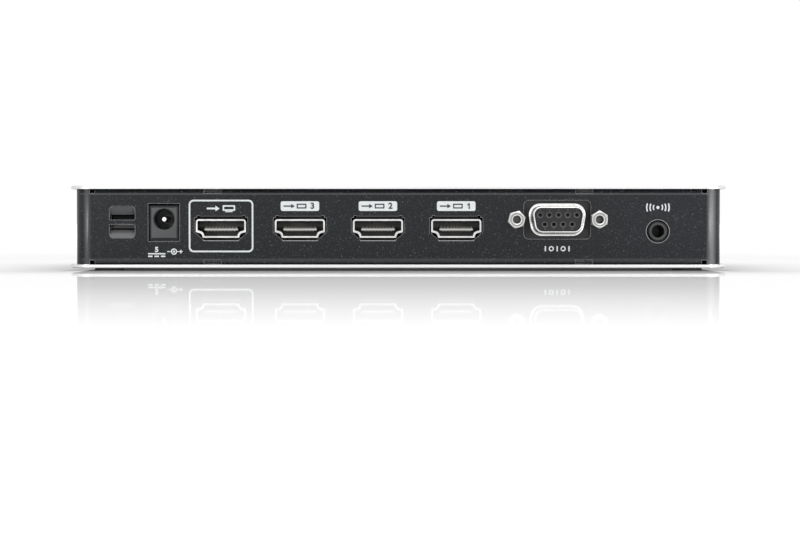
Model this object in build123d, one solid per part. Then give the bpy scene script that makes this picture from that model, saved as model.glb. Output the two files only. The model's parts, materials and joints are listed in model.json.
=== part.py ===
from build123d import *
import math
import os

# Three-input video switch box. Millimetres, +Z up, z = 0 under the feet.
# The connector panel faces -Y and the front bezel faces +Y.

# Case
case_width = 200.0
case_depth = 76.5
case_height = 25.0
cover_thickness = 1.0
cover_overhang = 1.7
cover_edge_bevel = 0.25
foot_height = 0.8
foot_radius = 4.5
foot_inset = 11.0

# Places across the box, as shares of its width from the middle
anchor_share = -0.4196
power_share = -0.3563
output_share = -0.2694
input_3_share = -0.1495
input_2_share = -0.031
input_1_share = 0.0879
serial_share = 0.2414
audio_share = 0.3943
button_share = -0.31
first_light_share = -0.17
power_light_share = 0.31
window_share = 0.15
flange_gap_share = 0.2825

# Places of the cover fixings behind the panel, as shares of the case's depth
fixing_rear_share = 0.26
fixing_front_share = 0.68

# Heights as shares: the anchor in the panel, the room under the board, the screw in its standoff
anchor_height_share = 0.561
below_board_share = 0.636
board_screw_share = 0.58

# Folded chassis
sheet = 1.0
chassis_corner_radius = 4.5
bend_radius = 1.4
flange_depth = 8.0
bend_relief = 1.5
bend_relief_depth = 1.3
flange_gap_width = 5.2
flange_gap_depth = 1.3

# Cover fixings
fixing_inset = 4.4
fixing_radius = 1.0
screw_head_radius = 1.9
screw_head_height = 0.95
screw_length = 3.6
screw_drive_radius = 0.8
screw_drive_depth = 0.5
nut_across_flats = 4.0
nut_thickness = 1.6
stud_length = 3.2
thread_clearance = 0.05
hole_clearance = 0.2

# Front bezel
bezel_wall = 2.0
bezel_return = 12.0
bezel_gap = 0.1
bezel_tongue_length = 6.0
bezel_tongue_wall = 1.2
bezel_tongue_clearance = 0.15
bezel_edge_bevel = 0.5
latch_width = 0.8
latch_height = 0.75
latch_length = 3.0
latch_setback = 1.5
latch_clearance = 0.2
window_width = 15.0
window_height = 7.0
window_corner_radius = 1.0
window_lip = 1.0
window_lip_thickness = 0.8
window_clearance = 0.1

# Main board
standoff_across_flats = 5.0
standoff_spigot_radius = 1.9
standoff_bore_radius = 1.3
board_thickness = 1.6
board_side_gap = 0.4
board_rear_gap = 1.2
board_front_gap = 1.2
board_corner_radius = 3.0
board_hole_radius = 1.7
board_screw_head_radius = 2.7
board_screw_head_height = 1.7
board_fixing_inset = 9.6
board_fixing_rear_setback = 15.5
board_fixing_front_setback = 8.0

# Cable-tie anchor, lanced out of the rear panel
anchor_width = 7.7
anchor_opening = 9.85
anchor_corner_radius = 1.4
anchor_bar = 1.43
anchor_ramp_depth = 2.8
anchor_ramp_sheet = 0.8
anchor_shear_gap = 0.1

# Power inlet
power_width = 9.0
power_height = 10.5
power_depth = 14.0
power_axis_height = 6.32
power_face_setback = 0.2
power_face_bevel = 0.7
power_bore_radius = 3.15
power_bore_depth = 10.0
power_mouth_bevel = 0.25
power_pin_radius = 1.0
power_pin_root_radius = 1.4
power_pin_tip_bevel = 0.4
power_pin_setback = 0.8
power_pin_tail = 1.2
power_cutout_side = 0.23
power_cutout_top = 0.55
power_cutout_bottom = 0.39
power_spring_width = 1.6
power_spring_sheet = 0.3
power_spring_rise = 0.55
power_seat_clearance = 0.05

# Video sockets
socket_width = 15.2
socket_height = 5.64
socket_wall = 0.5
socket_depth = 11.2
socket_reach = 0.6
socket_lift = 0.71
socket_base_half = 5.5
socket_waist_half = 5.85
socket_waist_height = 1.25
socket_waist_radius = 1.1
socket_knee_height = 1.74
socket_top_radius = 0.9
socket_spring_offset = 2.25
socket_spring_width = 1.5
socket_spring_length = 5.0
socket_spring_setback = 0.5
socket_spring_drop = 0.65
socket_spring_lead = 1.0
socket_spring_sheet = 0.25
socket_spring_gap = 0.2
socket_leg_width = 1.0
socket_leg_front = 4.4
socket_leg_rear = 8.6
socket_leg_tail = 0.6
socket_leg_clearance = 0.1
tongue_width = 10.1
tongue_thickness = 0.95
tongue_height = 2.64
tongue_setback = 1.2
tongue_nose_bevel = 0.25
insulator_thickness = 2.6
insulator_clearance = 0.04
insulator_block_width = 12.6
insulator_block_depth = 1.6
contact_pitch = 1.0
contact_width = 0.42
contact_thickness = 0.18
contact_setback = 0.3
contact_upper_count = 10
contact_lower_count = 9
contact_upper_tail = 1.3
contact_lower_tail = 0.6
panel_socket_gap = 0.47
panel_socket_drop = 0.8
panel_knee_drop = 0.07
panel_base_half = 5.1
ground_tab_half = 6.5
ground_tab_relief = 0.8
ground_tab_bend = 0.6
ground_tab_depth = 3.0

# Nine-way serial port
serial_axis_height = 6.2
serial_reach = 5.9
serial_shell_width = 16.33
serial_shell_height = 7.9
serial_shell_slope = 10
serial_shell_radius = 2.5
serial_shell_wall = 0.4
serial_lip_bevel = 0.15
serial_flare = 0.95
serial_root_radius = 0.85
serial_base_thickness = 0.8
serial_flange_width = 30.8
serial_flange_height = 12.0
serial_flange_thickness = 2.0
serial_flange_radius = 1.0
serial_flange_clearance = 0.05
serial_body_step = 0.8
serial_body_depth = 4.5
serial_body_setback = 0.5
serial_cutout_width = 20.2
serial_cutout_height = 11.7
serial_cutout_radius = 1.5
serial_pitch = 2.76
serial_row_spacing = 2.84
serial_hole_radius = 0.55
serial_hole_mouth_radius = 0.95
serial_hole_mouth_depth = 0.4
serial_bore_half = 0.85
serial_contact_wall = 0.25
serial_contact_clearance = 0.05
serial_contact_setback = 0.8
serial_tail_width = 0.6
serial_tail_step = 2.2
serial_upper_count = 5
serial_lower_count = 4
serial_bracket_width = 6.0
serial_bracket_sheet = 1.0
serial_bracket_foot = 7.0
jackscrew_spacing = 24.99
jackscrew_across_flats = 4.8
jackscrew_head = 4.8
jackscrew_bevel = 0.45
jackscrew_shank_radius = 1.4
jackscrew_tail = 1.0
jackscrew_bore_radius = 1.2
jackscrew_bore_depth = 4.2
jackscrew_mouth_bevel = 0.25
jackscrew_turn_left = 15
jackscrew_turn_right = 30

# 3.5 mm jack
audio_axis_height = 2.65
audio_bush_radius = 3.0
audio_bush_reach = 0.4
audio_bush_bevel = 0.3
audio_bore_radius = 1.8
audio_bore_depth = 11.5
audio_mouth_bevel = 0.15
audio_body_width = 6.4
audio_body_height = 5.2
audio_body_depth = 12.0
audio_body_lead = 0.1
audio_panel_radius = 3.45
audio_contact_width = 1.4
audio_contact_gap = 0.1
audio_contact_pitch = 3.0
audio_contact_count = 3

# Select button and its push switch
button_axis_height = 4.2
button_width = 12.0
button_height = 6.0
button_corner_radius = 2.0
button_proud = 0.8
button_edge_bevel = 0.35
button_guide_gap = 0.15
button_flange = 1.2
button_flange_thickness = 1.0
button_flange_gap = 0.05
button_travel = 0.3
plunger_radius = 1.7
plunger_depth = 1.6
plunger_bore_gap = 0.05
plunger_end_gap = 0.2
tact_width = 6.2
tact_height = 6.3
tact_depth = 3.6
tact_bevel = 0.4

# Status lights
light_radius = 1.5
light_length = 5.1
light_proud = 0.3
light_hole_gap = 0.1
light_holder_width = 4.4
light_holder_depth = 3.5
light_holder_height = 6.4
light_pitch = 12.0
light_count = 3

# Infrared receiver
receiver_width = 6.0
receiver_height = 6.6
receiver_depth = 3.0
receiver_lens_radius = 2.0
receiver_gap = 0.3

# Board components: places as shares of the case's width and depth, heights above the board
switch_chip_shares = (-0.09, 0.026)
switch_chip_side = 14.0
switch_chip_height = 1.4
controller_chip_shares = (0.17, 0.105)
controller_chip_side = 9.0
controller_chip_height = 1.2
chip_edge_bevel = 0.3
serial_chip_shares = (0.245, -0.078)
serial_chip_width = 10.3
serial_chip_body = 5.3
serial_chip_height = 1.9
serial_chip_lead_reach = 1.1
serial_chip_lead_width = 0.42
serial_chip_lead_sheet = 0.22
serial_chip_lead_pitch = 1.27
serial_chip_lead_count = 8
regulator_shares = (-0.34, -0.026)
regulator_width = 6.6
regulator_body = 6.1
regulator_height = 2.3
regulator_tab = 1.2
regulator_tab_height = 0.5
inductor_shares = (-0.28, 0.052)
inductor_side = 7.3
inductor_corner = 1.6
inductor_height = 4.5
inductor_core_radius = 2.6
inductor_recess = 0.5
can_shares = ((-0.41, 0.026), (-0.41, 0.157))
can_radius = 3.15
can_base_side = 6.6
can_base_corner = 1.2
can_base_height = 1.0
can_height = 7.7
ceramic_first_shares = (-0.2, 0.183)
ceramic_pitch = 6.0
ceramic_count = 8
ceramic_length = 2.0
ceramic_width = 1.25
ceramic_height = 1.25
crystal_shares = (0.25, 0.183)
crystal_length = 11.4
crystal_width = 4.7
crystal_height = 3.6
crystal_corner_radius = 2.1

# Overrun of every cut past the face that it opens
cut_over = 1.0

# Places worked out from the sizes above
chassis_width = case_width - 2 * cover_overhang
chassis_height = case_height - 2 * cover_thickness
anchor_x = case_width * anchor_share
power_x = case_width * power_share
socket_places = {
    "output": case_width * output_share,
    "input_3": case_width * input_3_share,
    "input_2": case_width * input_2_share,
    "input_1": case_width * input_1_share,
}
serial_x = case_width * serial_share
audio_x = case_width * audio_share
button_x = case_width * button_share
first_light_x = case_width * first_light_share
power_light_x = case_width * power_light_share
window_x = case_width * window_share
floor_z = foot_height + cover_thickness
roof_z = floor_z + chassis_height
panel_y = (serial_reach + cover_overhang - case_depth) / 2
panel_back_y = panel_y + sheet
case_rear_y = panel_y - cover_overhang
case_front_y = case_rear_y + case_depth
bezel_front_y = case_front_y - cover_overhang
bezel_back_y = bezel_front_y - bezel_wall
seam_y = bezel_front_y - bezel_return
serial_stack = serial_axis_height + serial_flange_height / 2
standoff_height = below_board_share * (chassis_height - board_thickness - serial_stack)
board_screw_length = board_thickness + board_screw_share * standoff_height
board_bottom_z = floor_z + standoff_height
board_top_z = board_bottom_z + board_thickness
board_rear_y = panel_back_y + board_rear_gap
board_front_y = bezel_back_y - board_front_gap
tongue_outer_x = chassis_width / 2 - sheet - bezel_tongue_clearance
tongue_inner_x = tongue_outer_x - bezel_tongue_wall
board_half_width = tongue_inner_x - board_side_gap
side_flange_rear_y = panel_y + flange_depth + bend_relief
fixing_x = chassis_width / 2 - fixing_inset
fixing_rear_y = panel_y + case_depth * fixing_rear_share
fixing_front_y = panel_y + case_depth * fixing_front_share
fixing_points = [(side * fixing_x, y) for side in (-1, 1) for y in (fixing_rear_y, fixing_front_y)]
board_fixing_x = board_half_width - board_fixing_inset
board_fixing_rear_y = board_rear_y + board_fixing_rear_setback
board_fixing_front_y = board_front_y - board_fixing_front_setback
board_fixing_points = [
    (side * board_fixing_x, y)
    for side in (-1, 1)
    for y in (board_fixing_rear_y, board_fixing_front_y)
]
socket_bottom_z = board_top_z + socket_lift
socket_top_z = socket_bottom_z + socket_height
socket_front_y = panel_y - socket_reach
serial_z = board_top_z + serial_axis_height
audio_z = board_top_z + audio_axis_height
power_z = board_top_z + power_axis_height
front_axis_z = board_top_z + button_axis_height
light_places = [first_light_x + light_pitch * number for number in range(light_count)] + [power_light_x]


def save(name, *solids):
    """Write one node, whether it is one solid or a group of separate ones."""
    if len(solids) == 1:
        shape = solids[0]
    else:
        shape = Compound(children=list(solids))
    export_step(shape, f"parts/{name}.step")


def block(low, high):
    """Rectangular solid between two opposite corners."""
    middle = [(start + end) / 2 for start, end in zip(low, high)]
    size = [end - start for start, end in zip(low, high)]
    return Pos(*middle) * Box(*size)


def slab(outline, bottom, top):
    """Solid with a plan outline, between two heights."""
    return extrude(Pos(0, 0, bottom) * outline, top - bottom)


def prism(outline, front, back):
    """Solid whose outline stands upright and faces -Y, between two depths."""
    plane = Plane(origin=(0, back, 0), x_dir=(1, 0, 0), z_dir=(0, -1, 0))
    return extrude(plane * outline, back - front)


def rib(outline, left, right):
    """Solid whose outline lies in depth and height, between two places across the box."""
    plane = Plane(origin=(left, 0, 0), x_dir=(0, 1, 0), z_dir=(1, 0, 0))
    return extrude(plane * outline, right - left)


def rod(radius, x, z, front, back):
    """Round bar or hole that runs from front to back."""
    return prism(Pos(x, z) * Circle(radius), front, back)


def cone(front_radius, back_radius, x, z, front, back):
    """Tapered round solid that runs from front to back."""
    middle = Pos(x, (front + back) / 2, z) * Rot(-90, 0, 0)
    return middle * Cone(front_radius, back_radius, back - front)


def hexagon(across_flats, turn=0):
    """Six-sided outline with a given distance between opposite sides."""
    return Rot(0, 0, turn) * RegularPolygon(across_flats / math.sqrt(3), 6)


def rounded(width, height, radius):
    """Rectangle with round corners."""
    return RectangleRounded(width, height, radius)


def corner_outline(points, radii):
    """Closed outline through points, each with its own corner radius."""
    return make_face(FilletPolyline(*points, radius=radii, close=True))


def mirrored(points):
    """Right-hand points from the bottom up, closed by their mirror images."""
    return points + [(-x, y) for x, y in reversed(points)]


def covers():
    """Top plate with its pressed-in studs, and bottom plate with countersunk holes."""
    outline = Pos(0, (case_rear_y + case_front_y) / 2) * rounded(
        case_width, case_depth, chassis_corner_radius + cover_overhang
    )
    top = slab(outline, roof_z, roof_z + cover_thickness)
    top = chamfer(top.edges().group_by(Axis.Z)[-1], cover_edge_bevel)
    for x, y in fixing_points:
        top += Pos(x, y, roof_z - stud_length / 2) * Cylinder(fixing_radius, stud_length)
    bottom = slab(outline, foot_height, floor_z)
    bottom = chamfer(bottom.edges().group_by(Axis.Z)[0], cover_edge_bevel)
    for x, y in fixing_points:
        bottom -= Pos(x, y, foot_height) * Cylinder(
            fixing_radius + hole_clearance, 2 * cover_thickness + cut_over
        )
        bottom -= Pos(x, y, foot_height) * countersink(thread_clearance)
    for x, y in board_fixing_points:
        bottom -= Pos(x, y, foot_height - cut_over) * slab(
            Circle(standoff_spigot_radius + thread_clearance), 0, cover_thickness + 2 * cut_over
        )
    save("top_cover", top)
    save("bottom_cover", bottom)


def countersink(grow):
    """Tapered screw head standing on z = 0, wide end down."""
    return Pos(0, 0, screw_head_height / 2) * Cone(
        screw_head_radius + grow, fixing_radius + grow, screw_head_height
    )


def feet():
    """Four stick-on rubber discs under the bottom plate."""
    foot = slab(Circle(foot_radius), 0, foot_height)
    x = case_width / 2 - foot_inset
    places = [
        (side * x, y)
        for side in (-1, 1)
        for y in (case_rear_y + foot_inset, case_front_y - foot_inset)
    ]
    save("rubber_feet", *[Pos(*place) * foot for place in places])


def cover_fasteners():
    """Countersunk screws from below, and nuts on the studs of the top plate."""
    shank = slab(Circle(fixing_radius - thread_clearance), 0, screw_length)
    drive = slab(hexagon(2 * screw_drive_radius), -cut_over, screw_drive_depth)
    screw = countersink(0) + shank - drive
    save("cover_screws", *[Pos(x, y, foot_height) * screw for x, y in fixing_points])
    nut = slab(hexagon(nut_across_flats), -nut_thickness, 0)
    nut -= slab(
        Circle(fixing_radius + thread_clearance), -nut_thickness - cut_over, cut_over
    )
    save("cover_nuts", *[Pos(x, y, roof_z - sheet) * nut for x, y in fixing_points])


def folded_wall(length):
    """Straight wall with its top and bottom edges folded inwards: web at v = 0, run along x."""
    outer = corner_outline(
        [(0, 0), (flange_depth, 0), (flange_depth, chassis_height), (0, chassis_height)],
        [bend_radius, 0, 0, bend_radius],
    )
    inner_radius = bend_radius - sheet
    reach = flange_depth + cut_over
    inner = corner_outline(
        [(sheet, sheet), (reach, sheet), (reach, chassis_height - sheet), (sheet, chassis_height - sheet)],
        [inner_radius, 0, 0, inner_radius],
    )
    return Pos(0, 0, floor_z) * rib(outer - inner, 0, length)


def chassis():
    """Rear panel and sides folded from one sheet, with every cut-out that the connectors need."""
    half = chassis_width / 2
    straight = half - chassis_corner_radius
    rear = Pos(-straight, panel_y, 0) * folded_wall(2 * straight)
    side_length = seam_y - bezel_gap - side_flange_rear_y
    left = Pos(-half, seam_y - bezel_gap, 0) * Rot(0, 0, -90) * folded_wall(side_length)
    right = Pos(half, side_flange_rear_y, 0) * Rot(0, 0, 90) * folded_wall(side_length)
    body = rear + left + right
    corner = Circle(chassis_corner_radius) - Circle(chassis_corner_radius - sheet)
    for side in (-1, 1):
        centre_x = side * straight
        centre_y = panel_y + chassis_corner_radius
        quarter = block(
            (min(centre_x, side * half), panel_y, floor_z),
            (max(centre_x, side * half), centre_y, roof_z),
        )
        body += slab(Pos(centre_x, centre_y) * corner, floor_z, roof_z) & quarter
        wall_x = side * (half - sheet / 2)
        body += block(
            (wall_x - sheet / 2, centre_y, floor_z),
            (wall_x + sheet / 2, side_flange_rear_y, roof_z),
        )
    body -= bend_reliefs(straight)
    body -= fixing_holes()
    body -= latch_windows()
    body = add_anchor(body)
    for x in socket_places.values():
        body -= socket_cutout(x)
        body += ground_tab(x)
    body -= power_cutout()
    body -= serial_cutout()
    body -= rod(audio_panel_radius, audio_x, audio_z, panel_y - cut_over, panel_back_y + cut_over)
    save("rear_chassis", body)


def bend_reliefs(straight):
    """Notches at both ends of the panel's folds, and the two interruptions of each fold."""
    cuts = []
    half_gap = flange_gap_width / 2
    for side in (-1, 1):
        left, right = sorted((side * (straight - bend_relief), side * straight))
        cuts.append((left, right, bend_relief_depth, flange_depth))
        middle = side * flange_gap_share * case_width
        cuts.append((middle - half_gap, middle + half_gap, flange_gap_depth, flange_gap_depth))
    reliefs = []
    for left, right, drop, setback in cuts:
        back = panel_back_y + setback
        for low, high in ((floor_z - cut_over, floor_z + drop), (roof_z - drop, roof_z + cut_over)):
            reliefs.append(block((left, panel_y - cut_over, low), (right, back, high)))
    return reliefs


def fixing_holes():
    """Stud holes in the top flanges and thread holes in the bottom ones."""
    holes = []
    for x, y in fixing_points:
        stud_hole = slab(Circle(fixing_radius + hole_clearance), -sheet - cut_over, cut_over)
        holes.append(Pos(x, y, roof_z) * stud_hole)
        thread_hole = slab(Circle(fixing_radius), -cut_over, sheet + cut_over)
        holes.append(Pos(x, y, floor_z) * thread_hole)
    return holes


def latch_span():
    """Inner and outer distance from the middle, and rear and front place, of a bezel latch."""
    rear = seam_y - latch_setback - latch_length
    return tongue_inner_x, tongue_inner_x + latch_width, rear, rear + latch_length


def latch_windows():
    """Openings near the front ends of the side flanges that the bezel's latches hook into."""
    inner, outer, rear, front = latch_span()
    windows = []
    for side in (-1, 1):
        left, right = sorted((side * (inner - latch_clearance), side * (outer + latch_clearance)))
        for middle in (floor_z, roof_z):
            low = (left, rear - latch_clearance, middle - sheet - latch_clearance)
            high = (right, front + latch_clearance, middle + sheet + latch_clearance)
            windows.append(block(low, high))
    return windows


def add_anchor(body):
    """Opening with a bar left in the panel's plane and two ramps pressed in behind it."""
    z = floor_z + anchor_height_share * chassis_height
    opening = Pos(anchor_x, z) * rounded(anchor_width, anchor_opening, anchor_corner_radius)
    body -= prism(opening, panel_y - cut_over, panel_back_y + cut_over)
    half_bar = anchor_bar / 2
    half_opening = anchor_opening / 2
    left = anchor_x - anchor_width / 2
    right = anchor_x + anchor_width / 2
    body += block((left, panel_y, z - half_bar), (right, panel_back_y, z + half_bar))
    depth = anchor_ramp_depth
    ramp_sheet = anchor_ramp_sheet
    outline = corner_outline(
        [
            (panel_y, half_opening),
            (panel_y + depth, half_bar),
            (panel_y + depth, half_bar / 2),
            (panel_y + depth + ramp_sheet, half_bar / 2),
            (panel_y + depth + ramp_sheet, half_bar + ramp_sheet),
            (panel_back_y, half_opening + ramp_sheet),
            (panel_y, half_opening + ramp_sheet),
        ],
        [0, ramp_sheet, 0, 0, ramp_sheet, 0, 0],
    )
    upper = rib(outline, left + anchor_shear_gap, right - anchor_shear_gap)
    body += Pos(0, 0, z) * upper
    body += Pos(0, 0, z) * mirror(upper, about=Plane.XY)
    return body


def socket_cutout(x):
    """Panel opening that follows a video socket, with slots beside its grounding tab."""
    half = socket_width / 2 + panel_socket_gap
    knee = socket_bottom_z + socket_knee_height - panel_knee_drop
    top = socket_top_z + panel_socket_gap
    points = mirrored([(panel_base_half, socket_bottom_z - panel_socket_drop), (half, knee), (half, top)])
    opening = prism(Pos(x, 0) * Polygon(*points, align=None), panel_y - cut_over, panel_back_y + cut_over)
    outer = ground_tab_half + ground_tab_relief
    notch = Pos(x, top) * Rectangle(2 * outer, 2 * ground_tab_bend)
    return opening + prism(notch, panel_y - cut_over, panel_back_y + cut_over)


def ground_tab(x):
    """Edge of the panel folded inwards over a video socket."""
    low = socket_top_z + panel_socket_gap
    back = panel_y + ground_tab_depth
    outline = corner_outline(
        [
            (panel_y, low),
            (back, low),
            (back, low + sheet),
            (panel_back_y, low + sheet),
            (panel_back_y, low + sheet + ground_tab_bend),
            (panel_y, low + sheet + ground_tab_bend),
        ],
        [ground_tab_bend, 0, 0, 0, 0, 0],
    )
    return rib(outline, x - ground_tab_half, x + ground_tab_half)


def power_cutout():
    """Panel opening round the power inlet."""
    half = power_width / 2 + power_cutout_side
    return block(
        (power_x - half, panel_y - cut_over, board_top_z - power_cutout_bottom),
        (power_x + half, panel_back_y + cut_over, board_top_z + power_height + power_cutout_top),
    )


def serial_cutout():
    """Panel opening of the serial port, with the two jackscrew holes."""
    outline = rounded(serial_cutout_width, serial_cutout_height, serial_cutout_radius)
    cut = prism(Pos(serial_x, serial_z) * outline, panel_y - cut_over, panel_back_y + cut_over)
    radius = jackscrew_shank_radius + hole_clearance
    for side in (-1, 1):
        x = serial_x + side * jackscrew_spacing / 2
        cut += rod(radius, x, serial_z, panel_y - cut_over, panel_back_y + cut_over)
    return cut


def bezel():
    """Moulded front shell with returns round both corners, tongues and latches."""
    half = chassis_width / 2
    low = floor_z + bezel_gap
    high = roof_z - bezel_gap
    depth = bezel_return + chassis_corner_radius
    outer = Pos(0, bezel_front_y - depth / 2) * rounded(2 * half, depth, chassis_corner_radius)
    shell = slab(outer, low, high)
    front_edges = shell.edges().filter_by(GeomType.LINE).group_by(Axis.Y)[-1]
    shell = chamfer(front_edges.filter_by(Axis.X), bezel_edge_bevel)
    inner_radius = chassis_corner_radius - bezel_wall
    hollow = Pos(0, bezel_back_y - depth / 2) * rounded(2 * (half - bezel_wall), depth, inner_radius)
    shell -= slab(hollow, low - cut_over, high + cut_over)
    shell -= block((-case_width, seam_y - depth, low - cut_over), (case_width, seam_y, high + cut_over))
    inner, outer_edge, latch_rear, latch_front = latch_span()
    tongue_low = floor_z + sheet + bezel_tongue_clearance
    tongue_high = roof_z - sheet - bezel_tongue_clearance
    for side in (-1, 1):
        edges = sorted((side * tongue_inner_x, side * tongue_outer_x))
        root = seam_y + bezel_tongue_wall
        shell += block(
            (edges[0], seam_y - bezel_tongue_length, tongue_low), (edges[1], root, tongue_high)
        )
        hooks = sorted((side * inner, side * outer_edge))
        shell += block(
            (hooks[0], latch_rear, tongue_low - latch_height),
            (hooks[1], latch_front, tongue_high + latch_height),
        )
    button_hole = Pos(button_x, front_axis_z) * rounded(
        button_width + 2 * button_guide_gap,
        button_height + 2 * button_guide_gap,
        button_corner_radius + button_guide_gap,
    )
    shell -= prism(button_hole, bezel_back_y - cut_over, bezel_front_y + cut_over)
    cut_front = bezel_front_y + cut_over
    cut_back = bezel_back_y - cut_over
    for x in light_places:
        shell -= rod(light_radius + light_hole_gap, x, front_axis_z, cut_back, cut_front)
    lens = Pos(window_x, front_axis_z) * rounded(window_width, window_height, window_corner_radius)
    shell -= prism(lens, cut_back, cut_front)
    save("front_bezel", shell)


def infrared_window():
    """Tinted lens that fills the bezel's window, with a lip behind the wall."""
    radius = window_corner_radius - window_clearance
    face = rounded(window_width - 2 * window_clearance, window_height - 2 * window_clearance, radius)
    lens = prism(Pos(window_x, front_axis_z) * face, bezel_back_y, bezel_front_y - window_clearance)
    lip = rounded(window_width + 2 * window_lip, window_height + 2 * window_lip, window_corner_radius)
    lens += prism(Pos(window_x, front_axis_z) * lip, bezel_back_y - window_lip_thickness, bezel_back_y)
    save("infrared_window", lens)


def board():
    """Main board with fixing holes and slots for the legs of the sockets."""
    middle = (board_rear_y + board_front_y) / 2
    depth = board_front_y - board_rear_y
    outline = Pos(0, middle) * rounded(2 * board_half_width, depth, board_corner_radius)
    for place in board_fixing_points:
        outline -= Pos(*place) * Circle(board_hole_radius)
    for x, y in socket_leg_places():
        outline -= Pos(x, y) * Rectangle(
            socket_wall + 2 * socket_leg_clearance, socket_leg_width + 2 * socket_leg_clearance
        )
    save("main_board", slab(outline, board_bottom_z, board_top_z))


def board_fixings():
    """Hexagonal standoffs pressed into the bottom plate, and the screws of the board."""
    standoff = slab(hexagon(standoff_across_flats), floor_z, board_bottom_z)
    standoff += slab(Circle(standoff_spigot_radius), foot_height + cover_edge_bevel, floor_z)
    standoff -= slab(Circle(standoff_bore_radius), floor_z, board_bottom_z + cut_over)
    save("board_standoffs", *[Pos(x, y) * standoff for x, y in board_fixing_points])
    screw = slab(Circle(board_screw_head_radius), 0, board_screw_head_height)
    screw += slab(Circle(standoff_bore_radius - thread_clearance), -board_screw_length, 0)
    save("board_screws", *[Pos(x, y, board_top_z) * screw for x, y in board_fixing_points])


def socket_leg_places():
    """Plan places of the four board legs of each video socket."""
    offset_x = (socket_width - socket_wall) / 2
    return [
        (x + side * offset_x, socket_front_y + setback)
        for x in socket_places.values()
        for side in (-1, 1)
        for setback in (socket_leg_front, socket_leg_rear)
    ]


def socket_outline(inset):
    """Outline of a video socket on its own bottom centre, drawn in by an inset."""
    base = socket_base_half - inset
    waist = socket_waist_half - inset
    half = socket_width / 2 - inset
    knee = socket_knee_height + inset
    top = socket_height - inset
    points = mirrored([(base, inset), (waist, socket_waist_height + inset), (half, knee), (half, top)])
    waist_radius = socket_waist_radius + inset / 2
    top_radius = socket_top_radius - inset
    radii = [0, waist_radius, 0, top_radius]
    return corner_outline(points, radii + radii[::-1])


def socket_shell():
    """Folded metal shell of a video socket, with two lanced springs and four legs."""
    shell = prism(socket_outline(0), 0, socket_depth)
    shell -= prism(socket_outline(socket_wall), -cut_over, socket_depth + cut_over)
    under = socket_height - socket_wall
    slot_half = socket_spring_width / 2 + socket_spring_gap
    spring_end = socket_spring_setback + socket_spring_length
    for side in (-1, 1):
        x = side * socket_spring_offset
        shell -= block(
            (x - slot_half, socket_spring_setback, under - socket_wall),
            (x + slot_half, spring_end, socket_height + cut_over),
        )
        dip = socket_spring_setback + socket_spring_lead
        sheet_top = socket_spring_sheet
        points = [
            (socket_spring_setback + socket_spring_gap, under),
            (dip, under - socket_spring_drop),
            (spring_end, under),
            (spring_end, under + sheet_top),
            (dip, under - socket_spring_drop + sheet_top),
            (socket_spring_setback + socket_spring_gap, under + sheet_top),
        ]
        spring = Polygon(*points, align=None)
        shell += rib(spring, x - socket_spring_width / 2, x + socket_spring_width / 2)
    half = socket_width / 2
    leg_end = -socket_lift - board_thickness - socket_leg_tail
    for side in (-1, 1):
        edges = sorted((side * (half - socket_wall), side * half))
        for setback in (socket_leg_front, socket_leg_rear):
            shell += block(
                (edges[0], setback - socket_leg_width / 2, leg_end),
                (edges[1], setback + socket_leg_width / 2, socket_height / 2),
            )
    return shell


def socket_insulator():
    """Moulded insulator: plug that closes the back of the shell, tongue and foot on the board."""
    plug_front = socket_depth - insulator_thickness
    plug = prism(socket_outline(socket_wall + insulator_clearance), plug_front, socket_depth)
    foot_back = socket_depth + insulator_block_depth
    foot_top = tongue_height - tongue_thickness
    half_block = insulator_block_width / 2
    half_root = contact_upper_count * contact_pitch / 2
    shoulder = socket_depth + socket_leg_clearance
    plug += block((-half_block, shoulder, -socket_lift), (half_block, foot_back, foot_top))
    plug += block((-half_root, plug_front, tongue_height / 2), (half_root, shoulder, foot_top))
    low = tongue_height - tongue_thickness / 2
    high = tongue_height + tongue_thickness / 2
    for bottom, top in ((low - contact_thickness, low), (high, high + contact_thickness)):
        plug -= block((-half_root, plug_front - cut_over, bottom), (half_root, socket_depth + cut_over, top))
    tongue = block((-tongue_width / 2, tongue_setback, low), (tongue_width / 2, socket_depth, high))
    nose = tongue.edges().group_by(Axis.Y)[0].filter_by(Axis.X)
    return plug + chamfer(nose, tongue_nose_bevel)


def socket_contacts():
    """Two rows of flat contacts that lie on the tongue and drop to the board behind the plug."""
    contacts = []
    surface = tongue_height + tongue_thickness / 2
    underside = tongue_height - tongue_thickness / 2
    start = tongue_setback + contact_setback
    rows = (
        (contact_upper_count, surface, surface + contact_thickness, contact_upper_tail),
        (contact_lower_count, underside - contact_thickness, underside, contact_lower_tail),
    )
    for count, low, high, tail in rows:
        back = socket_depth + insulator_block_depth + tail
        points = [
            (start, low),
            (back - contact_thickness, low),
            (back - contact_thickness, -socket_lift),
            (back, -socket_lift),
            (back, high),
            (start, high),
        ]
        strip = rib(Polygon(*points, align=None), -contact_width / 2, contact_width / 2)
        for number in range(count):
            contacts.append(Pos((number - (count - 1) / 2) * contact_pitch, 0, 0) * strip)
    return contacts


def video_sockets():
    """The four video sockets, each a shell, an insulator and its contacts."""
    shell = socket_shell()
    insulator = socket_insulator()
    contacts = socket_contacts()
    for name, x in socket_places.items():
        place = Pos(x, socket_front_y, socket_bottom_z)
        save(f"{name}_socket_shell", place * shell)
        save(f"{name}_socket_insulator", place * insulator)
        save(f"{name}_socket_contacts", *[place * contact for contact in contacts])


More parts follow.
